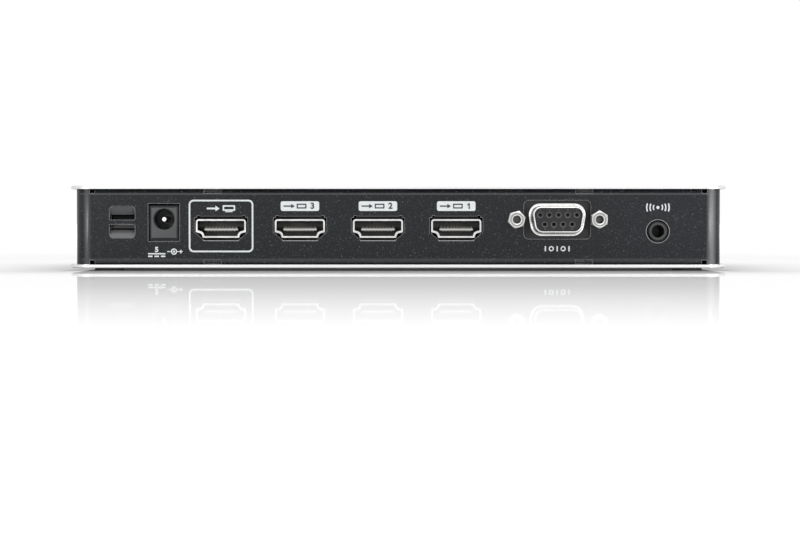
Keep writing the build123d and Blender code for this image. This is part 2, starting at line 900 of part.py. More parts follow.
def power_inlet():
    """Barrel power inlet: moulded housing, centre pin and leaf spring."""
    front = panel_y + power_face_setback
    back = front + power_depth
    half = power_width / 2
    top = board_top_z + power_height
    housing = block((power_x - half, front, board_top_z), (power_x + half, back, top))
    housing = chamfer(housing.edges().group_by(Axis.Y)[0], power_face_bevel)
    bore_end = front + power_bore_depth
    housing -= rod(power_bore_radius, power_x, power_z, front - cut_over, bore_end)
    mouth = power_bore_radius + power_mouth_bevel
    housing -= cone(mouth, power_bore_radius, power_x, power_z, front, front + power_mouth_bevel)
    seat = power_pin_root_radius + power_seat_clearance
    housing -= rod(seat, power_x, power_z, bore_end - cut_over, back + cut_over)
    slot_half = power_spring_width / 2 + power_seat_clearance
    slot_low = power_z - power_bore_radius - power_spring_sheet - power_seat_clearance
    housing -= block(
        (power_x - slot_half, front + power_face_bevel, slot_low),
        (power_x + slot_half, bore_end, power_z - power_pin_radius),
    )
    save("power_jack_housing", housing)

    pin = rod(power_pin_radius, power_x, power_z, front + power_pin_setback, bore_end)
    pin = chamfer(pin.edges().group_by(Axis.Y)[0], power_pin_tip_bevel)
    pin += rod(power_pin_root_radius, power_x, power_z, bore_end, back + power_pin_tail)
    save("power_jack_pin", pin)

    low = slot_low + power_seat_clearance
    rise = power_spring_rise
    start = front + power_face_bevel + power_seat_clearance
    end = bore_end - power_seat_clearance
    crest = start + (end - start) / 3
    points = [
        (start, low),
        (crest, low + rise),
        (end, low),
        (end, low + power_spring_sheet),
        (crest, low + rise + power_spring_sheet),
        (start, low + power_spring_sheet),
    ]
    leaf = corner_outline(points, [0, power_pin_radius, 0, 0, power_pin_radius, 0])
    half_leaf = power_spring_width / 2
    save("power_jack_spring", rib(leaf, power_x - half_leaf, power_x + half_leaf))


def serial_outline(inset):
    """D-shaped outline of the serial port about its own centre, wide side up."""
    half_height = serial_shell_height / 2 - inset
    slope = math.tan(math.radians(serial_shell_slope))
    middle_half = serial_shell_width / 2 - serial_shell_height / 2 * slope - inset / math.cos(
        math.radians(serial_shell_slope)
    )
    top_half = middle_half + half_height * slope
    base_half = middle_half - half_height * slope
    points = mirrored([(base_half, -half_height), (top_half, half_height)])
    return corner_outline(points, [serial_shell_radius - inset] * len(points))


def serial_pins():
    """Places of the serial port's holes about its centre, upper row first."""
    places = []
    half_spacing = serial_row_spacing / 2
    for count, z in ((serial_upper_count, half_spacing), (serial_lower_count, -half_spacing)):
        for number in range(count):
            places.append(((number - (count - 1) / 2) * serial_pitch, z))
    return places


def serial_port():
    """Nine-way port: drawn metal shell, moulded housing, contacts, brackets and jackscrews."""
    centre = Pos(serial_x, 0, serial_z)
    front = panel_y - serial_reach
    base_front = panel_back_y - serial_base_thickness
    shell = prism(serial_outline(0), front, panel_back_y)
    shell += prism(serial_outline(-serial_flare), base_front, panel_back_y)
    step = [face for face in shell.faces().filter_by(Axis.Y) if face.inner_wires()]
    shell = fillet(step[0].inner_wires()[0].edges(), serial_root_radius)
    lip = shell.edges().group_by(Axis.Y)[0]
    shell = chamfer(lip, serial_lip_bevel)
    shell -= prism(serial_outline(serial_shell_wall), front - cut_over, panel_back_y + cut_over)
    save("serial_port_shell", centre * shell)

    flange_back = panel_back_y + serial_flange_thickness
    body_back = flange_back + serial_body_depth
    fit = serial_shell_wall + serial_contact_clearance
    face = front + serial_body_setback
    housing = prism(serial_outline(fit), face, flange_back)
    housing += prism(serial_outline(-serial_body_step), flange_back, body_back)
    mouth_back = face + serial_hole_mouth_depth
    for x, z in serial_pins():
        housing -= cone(serial_hole_mouth_radius, serial_hole_radius, x, z, face, mouth_back)
        half = serial_bore_half
        housing -= block((x - half, mouth_back, z - half), (x + half, body_back + cut_over, z + half))
    save("serial_port_housing", centre * housing)

    flange = prism(
        rounded(serial_flange_width, serial_flange_height, serial_flange_radius), panel_back_y, flange_back
    )
    flange -= prism(
        serial_outline(fit - serial_flange_clearance), panel_back_y - cut_over, flange_back + cut_over
    )
    for side in (-1, 1):
        flange -= rod(
            jackscrew_shank_radius + hole_clearance,
            side * jackscrew_spacing / 2, 0, panel_back_y - cut_over, flange_back + cut_over,
        )
    save("serial_port_flange", centre * flange)

    contacts = []
    outer = serial_bore_half - serial_contact_clearance
    inner = outer - serial_contact_wall
    start = mouth_back + serial_contact_setback
    end = body_back - serial_contact_clearance
    for x, z in serial_pins():
        tube = block((x - outer, start, z - outer), (x + outer, end, z + outer))
        tube -= block((x - inner, start - cut_over, z - inner), (x + inner, panel_y, z + inner))
        step = serial_tail_step * (2 if z > 0 else 1)
        half = serial_tail_width / 2
        points = [
            (body_back - serial_contact_setback, z - half),
            (body_back + step - half, z - half),
            (body_back + step - half, -serial_axis_height),
            (body_back + step + half, -serial_axis_height),
            (body_back + step + half, z + half),
            (body_back - serial_contact_setback, z + half),
        ]
        tail = rib(Polygon(*points, align=None), x - half, x + half)
        contacts.append(centre * (tube + tail))
    save("serial_port_contacts", *contacts)
    save("serial_port_brackets", *[centre * bracket for bracket in serial_brackets(flange_back)])
    for name, side, turn in (("left", -1, jackscrew_turn_left), ("right", 1, jackscrew_turn_right)):
        screw = jackscrew(turn, flange_back + serial_bracket_sheet + jackscrew_tail)
        save(f"jackscrew_{name}", Pos(side * jackscrew_spacing / 2, 0, 0) * centre * screw)


def serial_brackets(flange_back):
    """Two angle brackets behind the port's flange, standing on the board."""
    low = -serial_axis_height
    half_high = serial_flange_height / 2
    back = flange_back + serial_bracket_foot
    points = [
        (flange_back, low),
        (back, low),
        (back, low + serial_bracket_sheet),
        (flange_back + serial_bracket_sheet, low + serial_bracket_sheet),
        (flange_back + serial_bracket_sheet, half_high),
        (flange_back, half_high),
    ]
    brackets = []
    for side in (-1, 1):
        x = side * jackscrew_spacing / 2
        half = serial_bracket_width / 2
        angle = rib(corner_outline(points, [0, 0, 0, 0, 0, 0]), x - half, x + half)
        angle -= rod(
            jackscrew_shank_radius + thread_clearance, x, 0, flange_back - cut_over,
            flange_back + serial_bracket_sheet + cut_over,
        )
        brackets.append(angle)
    return brackets


def jackscrew(turn, tail_back):
    """Hexagonal jackscrew on its own axis, with a blind threaded bore at its free end."""
    front = panel_y - jackscrew_head
    head = prism(hexagon(jackscrew_across_flats, turn), front, panel_y)
    corner = jackscrew_across_flats / math.sqrt(3)
    crown = cone(corner - jackscrew_bevel, corner, 0, 0, front, front + jackscrew_bevel)
    crown += rod(corner + jackscrew_bevel, 0, 0, front + jackscrew_bevel, panel_y)
    head &= crown
    screw = head + rod(jackscrew_shank_radius, 0, 0, panel_y, tail_back)
    screw -= rod(jackscrew_bore_radius, 0, 0, front - cut_over, front + jackscrew_bore_depth)
    mouth = jackscrew_bore_radius + jackscrew_mouth_bevel
    screw -= cone(mouth, jackscrew_bore_radius, 0, 0, front, front + jackscrew_mouth_bevel)
    return screw


def audio_jack():
    """3.5 mm jack with its round bush through the panel, and three contact springs."""
    body_front = board_rear_y - audio_body_lead
    body_back = body_front + audio_body_depth
    front = panel_y - audio_bush_reach
    half = audio_body_width / 2
    housing = block(
        (audio_x - half, body_front, board_top_z),
        (audio_x + half, body_back, board_top_z + audio_body_height),
    )
    bush = rod(audio_bush_radius, audio_x, audio_z, front, body_front)
    bush = chamfer(bush.edges().group_by(Axis.Y)[0], audio_bush_bevel)
    housing += bush
    housing -= rod(audio_bore_radius, audio_x, audio_z, front - cut_over, front + audio_bore_depth)
    mouth = audio_bore_radius + audio_mouth_bevel
    housing -= cone(mouth, audio_bore_radius, audio_x, audio_z, front, front + audio_mouth_bevel)
    contacts = []
    half_contact = audio_contact_width / 2
    contact_top = audio_z - audio_bore_radius - audio_contact_gap
    for number in range(audio_contact_count):
        y = body_front + audio_contact_pitch * (number + 1)
        lower = (audio_x - half_contact, y - half_contact, board_top_z)
        housing -= block(lower, (audio_x + half_contact, y + half_contact, audio_z))
        contacts.append(block(lower, (audio_x + half_contact, y + half_contact, contact_top)))
    save("audio_jack_housing", housing)
    save("audio_jack_contacts", *contacts)


def select_button():
    """Front button with its retaining flange and stem, the switch plunger and the switch."""
    front = bezel_front_y + button_proud
    flange_front = bezel_back_y - button_flange_gap
    flange_back = flange_front - button_flange_thickness
    centre = Pos(button_x, front_axis_z)
    cap = prism(centre * rounded(button_width, button_height, button_corner_radius), flange_back, front)
    cap = chamfer(cap.edges().group_by(Axis.Y)[-1], button_edge_bevel)
    flange = rounded(
        button_width + 2 * button_flange,
        button_height + 2 * button_flange,
        button_corner_radius + button_flange,
    )
    cap += prism(centre * flange, flange_back, flange_front)
    save("select_button", cap)

    tact_front = board_front_y - tact_bevel
    tact_back = tact_front - tact_depth
    plunger_back = tact_front - plunger_depth
    plunger = rod(plunger_radius, button_x, front_axis_z, plunger_back, flange_back)
    save("switch_plunger", plunger)

    half = tact_width / 2
    low = board_top_z
    housing = block((button_x - half, tact_back, low), (button_x + half, tact_front, low + tact_height))
    housing = chamfer(housing.edges().group_by(Axis.Y)[-1], tact_bevel)
    housing -= rod(
        plunger_radius + plunger_bore_gap, button_x, front_axis_z,
        plunger_back - button_travel - plunger_end_gap, tact_front + cut_over,
    )
    save("push_switch_housing", housing)


def status_lights():
    """Round status lights that show through the bezel, each in a holder on the board."""
    lights = []
    holders = []
    tip = bezel_front_y + light_proud
    body_back = tip - light_length
    for x in light_places:
        lights.append(rod(light_radius, x, front_axis_z, body_back, tip))
        half = light_holder_width / 2
        holders.append(
            block(
                (x - half, body_back - light_holder_depth, board_top_z),
                (x + half, body_back, board_top_z + light_holder_height),
            )
        )
    save("status_lights", *lights)
    save("status_light_holders", *holders)


def infrared_receiver():
    """Receiver block with its lens bump behind the tinted window."""
    front = bezel_back_y - window_lip_thickness - receiver_gap
    body_front = front - receiver_lens_radius
    half = receiver_width / 2
    body = block(
        (window_x - half, body_front - receiver_depth, board_top_z),
        (window_x + half, body_front, board_top_z + receiver_height),
    )
    body += Pos(window_x, body_front, front_axis_z) * Sphere(receiver_lens_radius)
    save("infrared_receiver", body)


def board_place(shares):
    """Plan place of a component, from its shares of the case's width and depth."""
    return case_width * shares[0], case_depth * shares[1]


def chip(place, length, width, height):
    """Flat chip body with bevelled top edges, standing on the board."""
    x, y = place
    body = slab(Pos(x, y) * Rectangle(length, width), board_top_z, board_top_z + height)
    return chamfer(body.edges().group_by(Axis.Z)[-1], chip_edge_bevel)


def board_components():
    """Chips, regulator, inductor, capacitors and crystal of the main board."""
    side = switch_chip_side
    save("switch_chip", chip(board_place(switch_chip_shares), side, side, switch_chip_height))
    side = controller_chip_side
    save("controller_chip", chip(board_place(controller_chip_shares), side, side, controller_chip_height))
    save("serial_chip", leaded_chip())

    x, y = board_place(regulator_shares)
    body = chip((x, y), regulator_width, regulator_body, regulator_height)
    tab_back = y + regulator_body / 2 + regulator_tab
    half = regulator_width / 2 - chip_edge_bevel
    body += block((x - half, y, board_top_z), (x + half, tab_back, board_top_z + regulator_tab_height))
    save("regulator_chip", body)

    inductor_place = board_place(inductor_shares)
    outline = Pos(*inductor_place) * chamfer_outline(inductor_side, inductor_corner)
    coil = slab(outline, board_top_z, board_top_z + inductor_height)
    coil_top = board_top_z + inductor_height
    core = Pos(*inductor_place) * Circle(inductor_core_radius)
    save("power_inductor", coil - slab(core, coil_top - inductor_recess, coil_top + cut_over))

    cans = []
    can_base_z = board_top_z + can_base_height
    for shares in can_shares:
        place = board_place(shares)
        base = slab(Pos(*place) * chamfer_outline(can_base_side, can_base_corner), board_top_z, can_base_z)
        can = slab(Pos(*place) * Circle(can_radius), can_base_z, board_top_z + can_height)
        cans.append(base + can)
    save("electrolytic_capacitors", *cans)

    first_x, first_y = board_place(ceramic_first_shares)
    half_length = ceramic_length / 2
    half_width = ceramic_width / 2
    ceramics = []
    for number in range(ceramic_count):
        x = first_x + number * ceramic_pitch
        ceramics.append(
            block(
                (x - half_length, first_y - half_width, board_top_z),
                (x + half_length, first_y + half_width, board_top_z + ceramic_height),
            )
        )
    save("ceramic_capacitors", *ceramics)

    can_outline = rounded(crystal_length, crystal_width, crystal_corner_radius)
    crystal = slab(can_outline, board_top_z, board_top_z + crystal_height)
    save("crystal_can", Pos(*board_place(crystal_shares)) * crystal)


def chamfer_outline(side, corner):
    """Square outline with cut corners."""
    square = Rectangle(side, side)
    return chamfer(square.vertices(), corner)


def leaded_chip():
    """Serial chip with a row of bent leads along both long sides."""
    x, y = board_place(serial_chip_shares)
    lift = serial_chip_lead_sheet / 2
    body = Pos(0, 0, lift) * chip((x, y), serial_chip_width, serial_chip_body, serial_chip_height)
    half_body = serial_chip_body / 2
    reach = half_body + serial_chip_lead_reach
    lead_sheet = serial_chip_lead_sheet
    middle = serial_chip_height / 2
    points = [
        (half_body - lead_sheet, middle),
        (reach - lead_sheet, middle),
        (reach - lead_sheet, 0),
        (reach, 0),
        (reach, middle + lead_sheet),
        (half_body - lead_sheet, middle + lead_sheet),
    ]
    half_lead = serial_chip_lead_width / 2
    lead = rib(Polygon(*points, align=None), -half_lead, half_lead)
    for number in range(serial_chip_lead_count):
        lead_x = x + (number - (serial_chip_lead_count - 1) / 2) * serial_chip_lead_pitch
        body += Pos(lead_x, y, board_top_z) * lead
        body += Pos(lead_x, y, board_top_z) * mirror(lead, about=Plane.XZ)
    return body


covers()
feet()
cover_fasteners()
chassis()
bezel()
infrared_window()
board()
board_fixings()
video_sockets()
power_inlet()
serial_port()
audio_jack()
select_button()
status_lights()
infrared_receiver()
board_components()
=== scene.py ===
import json
import math

import bpy
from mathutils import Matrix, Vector

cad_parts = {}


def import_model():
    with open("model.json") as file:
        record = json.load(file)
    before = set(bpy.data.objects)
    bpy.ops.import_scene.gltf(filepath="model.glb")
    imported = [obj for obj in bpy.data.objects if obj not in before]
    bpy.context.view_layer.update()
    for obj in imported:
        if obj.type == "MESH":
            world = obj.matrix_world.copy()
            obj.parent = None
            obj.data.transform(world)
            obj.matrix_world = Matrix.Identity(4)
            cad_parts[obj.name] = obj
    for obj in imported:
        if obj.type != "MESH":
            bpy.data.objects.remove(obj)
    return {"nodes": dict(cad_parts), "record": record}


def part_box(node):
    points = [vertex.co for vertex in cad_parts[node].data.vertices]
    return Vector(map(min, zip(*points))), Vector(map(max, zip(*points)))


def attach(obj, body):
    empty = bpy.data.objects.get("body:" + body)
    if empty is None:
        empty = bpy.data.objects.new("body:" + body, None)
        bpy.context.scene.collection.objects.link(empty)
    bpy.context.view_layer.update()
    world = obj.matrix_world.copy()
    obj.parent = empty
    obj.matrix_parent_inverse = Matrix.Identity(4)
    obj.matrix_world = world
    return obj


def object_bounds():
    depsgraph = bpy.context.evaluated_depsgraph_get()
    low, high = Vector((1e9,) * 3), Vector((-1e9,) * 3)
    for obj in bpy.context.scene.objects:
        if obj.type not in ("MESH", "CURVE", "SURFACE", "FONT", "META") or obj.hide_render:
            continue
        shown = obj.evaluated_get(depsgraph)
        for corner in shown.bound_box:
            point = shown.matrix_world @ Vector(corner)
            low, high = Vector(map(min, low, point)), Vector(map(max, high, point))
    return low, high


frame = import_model()
cad_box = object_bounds()

MM = 0.001
X, Y, Z = range(3)
NODES = frame["nodes"]
JACKSCREWS = ("jackscrew_left", "jackscrew_right")

# Camera: at the sockets' height, in front of the connector panel, tilted slightly down
CAMERA_DISTANCE = 0.65
CAMERA_HEIGHT = 0.0155
IMAGE_WIDTH_PX = 800
PX_PER_METRE = 3290.0
AIM_X = 0.0005
AIM_Z = -0.001215
SENSOR_WIDTH_MM = 36.0

# Ink of the printed marks in millimetres: its thickness and how far it sinks into the face
INK_THICKNESS = 0.024
INK_SINK = 0.004

# Outlines: steps in a quarter circle, and a digit's share of its font size
ARC_STEPS = 8
DIGIT_SHARE = 0.7

# Marks on the connector panel in millimetres: width, height and corner radius of each rectangle
FRAME_Z = 13.53
FRAME_OUTSIDE = (19.64, 15.96, 1.5)
FRAME_INSIDE = (18.64, 14.96, 1.05)
PLATE_Z = 19.57
PLATE_SIZE = (11.7, 2.95, 0.6)
OUTPUT_SYMBOL_Z = 18.85
DIRECT_CURRENT_ENDS = (-76.07, -70.83)
DIRECT_CURRENT_Z = 4.7
DASH_LENGTH = 1.35
SUPPLY_NUMERAL_Z = 6.3
POLARITY_X = -68.19
POLARITY_Z = 5.75
SERIAL_SYMBOL_Z = 6.63
SERIAL_SYMBOL_PITCH = 1.8
INFRARED_SYMBOL_Z = 19.17
WAVE_PITCH = 1.0
CONTACT_PITCH = 2.76
CONTACT_NUMBER_OFFSET = 2.85

# Marks on the bezel in millimetres
LIGHT_PITCH = 12.0
LIGHT_NUMBER_DROP = 2.6

# Share of a noise's range that the finishes use
NOISE_LOW = 0.3
NOISE_HIGH = 0.7

# Sockets of the Mix node that carry colours
COLOUR_A = 6
COLOUR_B = 7
COLOUR_RESULT = 2

# Soft boxes: azimuth in degrees, distance, height and size in metres, and radiance
LAMPS = {
    "left_box": (-29, 1.3, 0.065, (0.4, 0.13), 21.0),
    "right_box": (41, 1.3, 0.075, (0.75, 0.15), 18.5),
    "overhead_box": (0, 0.45, 1.6, (1.8, 1.4), 1.75),
}
LAMP_AIM_HEIGHT = 0.013
WORLD_DIFFUSE = 0.36

# Floor in metres: just under the feet, and wide enough for every view
FLOOR_HALF_WIDTH = 6.0
FLOOR_LEVEL = -0.00002


def middle(node):
    """Middle of a CAD node's box, in metres."""
    low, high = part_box(node)
    return (low + high) / 2


PANEL_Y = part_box("rear_chassis")[0].y
BEZEL_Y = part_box("front_bezel")[1].y


def add_node(material, kind, **values):
    """Add a shader node and set its inputs and properties by name."""
    node = material.node_tree.nodes.new(kind)
    for name, value in values.items():
        label = name.replace("_", " ").title()
        if label in node.inputs:
            node.inputs[label].default_value = value
        else:
            setattr(node, name, value)
    return node


def link(material, source, target):
    """Join an output socket to an input socket."""
    material.node_tree.links.new(source, target)


def feed(material, value, socket):
    """Give an input a number or an output socket."""
    if isinstance(value, (int, float)):
        socket.default_value = value
    elif isinstance(value, tuple):
        socket.default_value = (*value, 1.0)
    else:
        link(material, value, socket)


def computed(material, operation, first, second=0.0):
    """Result of a calculation on numbers or output sockets."""
    node = add_node(material, "ShaderNodeMath", operation=operation)
    feed(material, first, node.inputs[0])
    feed(material, second, node.inputs[1])
    return node.outputs[0]


def coordinate(material, kind, axis):
    """One coordinate of a point or of the normal, in the object's own space."""
    coordinates = add_node(material, "ShaderNodeTexCoord")
    split = add_node(material, "ShaderNodeSeparateXYZ")
    link(material, coordinates.outputs[kind], split.inputs[0])
    return split.outputs[axis]


def noise(material, size_mm, detail=3.0, stretch=(1, 1, 1)):
    """Noise in object space whose features are about size_mm across."""
    coordinates = add_node(material, "ShaderNodeTexCoord")
    mapping = add_node(material, "ShaderNodeMapping", Scale=tuple(stretch))
    texture = add_node(material, "ShaderNodeTexNoise")
    texture.inputs["Scale"].default_value = 1 / (size_mm * MM)
    texture.inputs["Detail"].default_value = detail
    link(material, coordinates.outputs["Object"], mapping.inputs["Vector"])
    link(material, mapping.outputs["Vector"], texture.inputs["Vector"])
    return texture.outputs["Fac"]


def ranged(material, source, low, high, to_low, to_high):
    """Map a value's range to another one, clamped."""
    node = add_node(material, "ShaderNodeMapRange")
    node.inputs["From Min"].default_value = low
    node.inputs["From Max"].default_value = high
    node.inputs["To Min"].default_value = to_low
    node.inputs["To Max"].default_value = to_high
    link(material, source, node.inputs["Value"])
    return node.outputs["Result"]


def mixed(material, factor, first, second):
    """Mix two colours, each a tuple or an output socket."""
    node = add_node(material, "ShaderNodeMix", data_type="RGBA")
    link(material, factor, node.inputs["Factor"])
    feed(material, first, node.inputs[COLOUR_A])
    feed(material, second, node.inputs[COLOUR_B])
    return node.outputs[COLOUR_RESULT]


def near(material, value, centre, half, soft):
    """One within half of a value and nought past a soft border."""
    offset = computed(material, "ABSOLUTE", computed(material, "SUBTRACT", value, centre))
    return ranged(material, offset, half, half + soft, 1.0, 0.0)


def along(axis, centre_mm, half_mm, soft_mm=0.05):
    """Mask: one within half_mm of a place along one axis."""
    def mask(material):
        place = coordinate(material, "Object", axis)
        return near(material, place, centre_mm * MM, half_mm * MM, soft_mm * MM)
    return mask


def beyond(axis, low_mm, high_mm):
    """Mask: rises from nought to one between two places along one axis."""
    return lambda material: ranged(
        material, coordinate(material, "Object", axis), low_mm * MM, high_mm * MM, 0.0, 1.0
    )


def before(axis, low_mm, high_mm):
    """Mask: falls from one to nought between two places along one axis."""
    return lambda material: ranged(
        material, coordinate(material, "Object", axis), low_mm * MM, high_mm * MM, 1.0, 0.0
    )


def leaning(axis, centre, half, soft=0.05):
    """Mask: one where the normal's share along one axis is near a value."""
    def mask(material):
        share = computed(material, "ABSOLUTE", coordinate(material, "Normal", axis))
        return near(material, share, centre, half, soft)
    return mask


def ring(place, inner_mm, outer_mm, soft_mm=0.06):
    """Mask: one between two radii round an axis that runs along Y."""
    def mask(material):
        squares = []
        for axis in (X, Z):
            here = coordinate(material, "Object", axis)
            offset = computed(material, "SUBTRACT", here, place[axis])
            offset = computed(material, "ABSOLUTE", offset)
            squares.append(computed(material, "POWER", offset, 2.0))
        radius = computed(material, "SQRT", computed(material, "ADD", *squares))
        half = (outer_mm - inner_mm) / 2 * MM
        return near(material, radius, (inner_mm + outer_mm) / 2 * MM, half, soft_mm * MM)
    return mask


def either(*masks):
    """Mask: one where one of the masks is."""
    def mask(material):
        share = masks[0](material)
        for other in masks[1:]:
            share = computed(material, "MAXIMUM", share, other(material))
        return share
    return mask


def jackscrew_rings(inner_mm, outer_mm, soft_mm=0.06):
    """Mask: one between two radii round the axis of either jackscrew."""
    return either(*(ring(middle(name), inner_mm, outer_mm, soft_mm) for name in JACKSCREWS))


def paint(colour, *masks):
    """Layer: lays a colour where every mask is one."""
    def layer(material, surface):
        share = masks[0](material)
        for mask in masks[1:]:
            share = computed(material, "MULTIPLY", share, mask(material))
        return mixed(material, share, surface, colour)
    return layer


def specks(size_mm, share, colour):
    """Layer: small round grains in some cells of a random pattern."""
    def layer(material, surface):
        coordinates = add_node(material, "ShaderNodeTexCoord")
        cells = add_node(material, "ShaderNodeTexVoronoi")
        cells.inputs["Scale"].default_value = 1 / (size_mm * MM)
        link(material, coordinates.outputs["Object"], cells.inputs["Vector"])
        pick = add_node(material, "ShaderNodeSeparateColor")
        link(material, cells.outputs["Color"], pick.inputs[0])
        chosen = ranged(material, pick.outputs[0], 1 - share, 1 - share + 0.02, 0.0, 1.0)
        grain = ranged(material, cells.outputs["Distance"], 0.35, 0.6, 1.0, 0.0)
        broken = ranged(material, noise(material, size_mm / 2, detail=1.0), 0.46, 0.6, 0.0, 1.0)
        flake = computed(material, "MULTIPLY", grain, broken)
        return mixed(material, computed(material, "MULTIPLY", chosen, flake), surface, colour)
    return layer


def worn_edges(colour, radius_mm, low, high=0.985):
    """Layer: another colour along sharp edges, for wear and painted highlight."""
    def layer(material, surface):
        bevel = add_node(material, "ShaderNodeBevel", samples=4)
        bevel.inputs["Radius"].default_value = radius_mm * MM
        geometry = add_node(material, "ShaderNodeNewGeometry")
        dot = add_node(material, "ShaderNodeVectorMath", operation="DOT_PRODUCT")
        link(material, bevel.outputs["Normal"], dot.inputs[0])
        link(material, geometry.outputs["Normal"], dot.inputs[1])
        share = ranged(material, dot.outputs["Value"], high, low, 0.0, 1.0)
        return mixed(material, share, surface, colour)
    return layer


def material_of(
    name,
    colour,
    roughness,
    metallic=0.0,
    mottle_mm=6.0,
    mottle=0.12,
    grain_mm=0.3,
    grain_depth_mm=0.01,
    uneven=0.08,
    stretch=(1, 1, 1),
    specular=0.5,
    coat=0.0,
    layers=(),
    satin=None,
):
    """Procedural finish: mottled colour with layers, uneven roughness, a satin part and grain."""
    material = bpy.data.materials.new(name)
    material.use_nodes = True
    shader = material.node_tree.nodes["Principled BSDF"]
    shader.inputs["Metallic"].default_value = metallic
    shader.inputs["Specular IOR Level"].default_value = specular
    shader.inputs["Coat Weight"].default_value = coat
    shader.inputs["Coat Roughness"].default_value = 0.06
    broad = noise(material, mottle_mm, stretch=stretch)
    darker = tuple(channel * (1 - mottle) for channel in colour)
    lighter = tuple(min(1.0, channel * (1 + mottle)) for channel in colour)
    share = ranged(material, broad, NOISE_LOW, NOISE_HIGH, 0.0, 1.0)
    surface = mixed(material, share, darker, lighter)
    for layer in layers:
        surface = layer(material, surface)
    link(material, surface, shader.inputs["Base Color"])
    smoothest = max(0.02, roughness - uneven)
    rough = ranged(material, broad, NOISE_LOW, NOISE_HIGH, smoothest, roughness + uneven)
    if satin:
        level, mask = satin
        satin_rough = computed(material, "MULTIPLY", mask(material), level)
        rough = computed(material, "MAXIMUM", rough, satin_rough)
    link(material, rough, shader.inputs["Roughness"])
    bump = add_node(material, "ShaderNodeBump")
    bump.inputs["Distance"].default_value = grain_depth_mm * MM
    bump.inputs["Strength"].default_value = 1.0
    link(material, noise(material, grain_mm, detail=2.0, stretch=stretch), bump.inputs["Height"])
    link(material, bump.outputs["Normal"], shader.inputs["Normal"])
    return material


def chassis_layers():
    """Grains in the black paint, lighter towards the right; painted highlights on the folds, the
    rounded corners, the anchor's ramps and round the cutouts; painted shade in the ramps' mouths;
    edges lighter for wear and painted highlight.
    """
    # Places along Y: in the panel's sheet, behind its front face and on its front face
    in_panel = before(Y, -33.6, -33.2)
    in_ramps = beyond(Y, -34.4, -34.3)
    on_front = before(Y, -34.3, -34.2)
    left_fold, right_fold = -94.65, 95.25
    bottom_fold, top_fold = 3.1, 23.25
    anchor_x, anchor_z = -83.92, 14.62
    ramp_mouths = either(along(Z, 16.15, 0.75, 0.15), along(Z, 13.05, 0.65, 0.15))
    sockets = [middle(name).x / MM for name in NODES if name.endswith("_socket_shell")]
    socket_feet = either(*(along(X, place, 5.2, 0.4) for place in sockets))
    socket_tops = either(*(along(X, place, 6.6, 0.3) for place in sockets))
    return (
        paint((0.0075, 0.0092, 0.0125), beyond(X, 20.0, 95.0)),
        # Painted highlights along the top and bottom folds
        paint((0.065, 0.067, 0.07), along(Z, top_fold, 0.1, 0.25), in_panel),
        paint((0.04, 0.041, 0.043), along(Z, bottom_fold, 0.2, 0.6), in_panel),
        # Painted highlights down the rounded left and right corners
        paint((0.085, 0.088, 0.092), along(X, left_fold, 0.15, 1.15)),
        paint((0.2, 0.204, 0.21), along(X, right_fold, 0.3, 1.4)),
        specks(0.3, 0.3, (0.055, 0.057, 0.064)),
        specks(0.42, 0.07, (0.125, 0.129, 0.14)),
        # Painted highlight on the anchor's ramps and painted shade in the mouths behind its bar
        paint((0.11, 0.112, 0.115), along(X, anchor_x, 3.7), along(Z, anchor_z, 4.9), in_ramps),
        paint((0.002, 0.002, 0.002), along(X, anchor_x, 3.6), ramp_mouths, in_ramps),
        # Edges lighter for wear and painted highlight
        worn_edges((0.34, 0.34, 0.345), 0.35, 0.88),
        # Painted highlights on the rim of the audio jack's hole and on the cutouts' edges below and
        # above the sockets
        paint(
            (0.3, 0.3, 0.305),
            ring(middle("audio_jack_housing"), 3.35, 3.6), before(Y, -34.2, -34.1),
        ),
        paint((0.42, 0.42, 0.425), socket_feet, along(Z, 9.14, 0.16), on_front),
        paint((0.06, 0.06, 0.062), socket_tops, along(Z, 16.45, 0.2), on_front),
    )


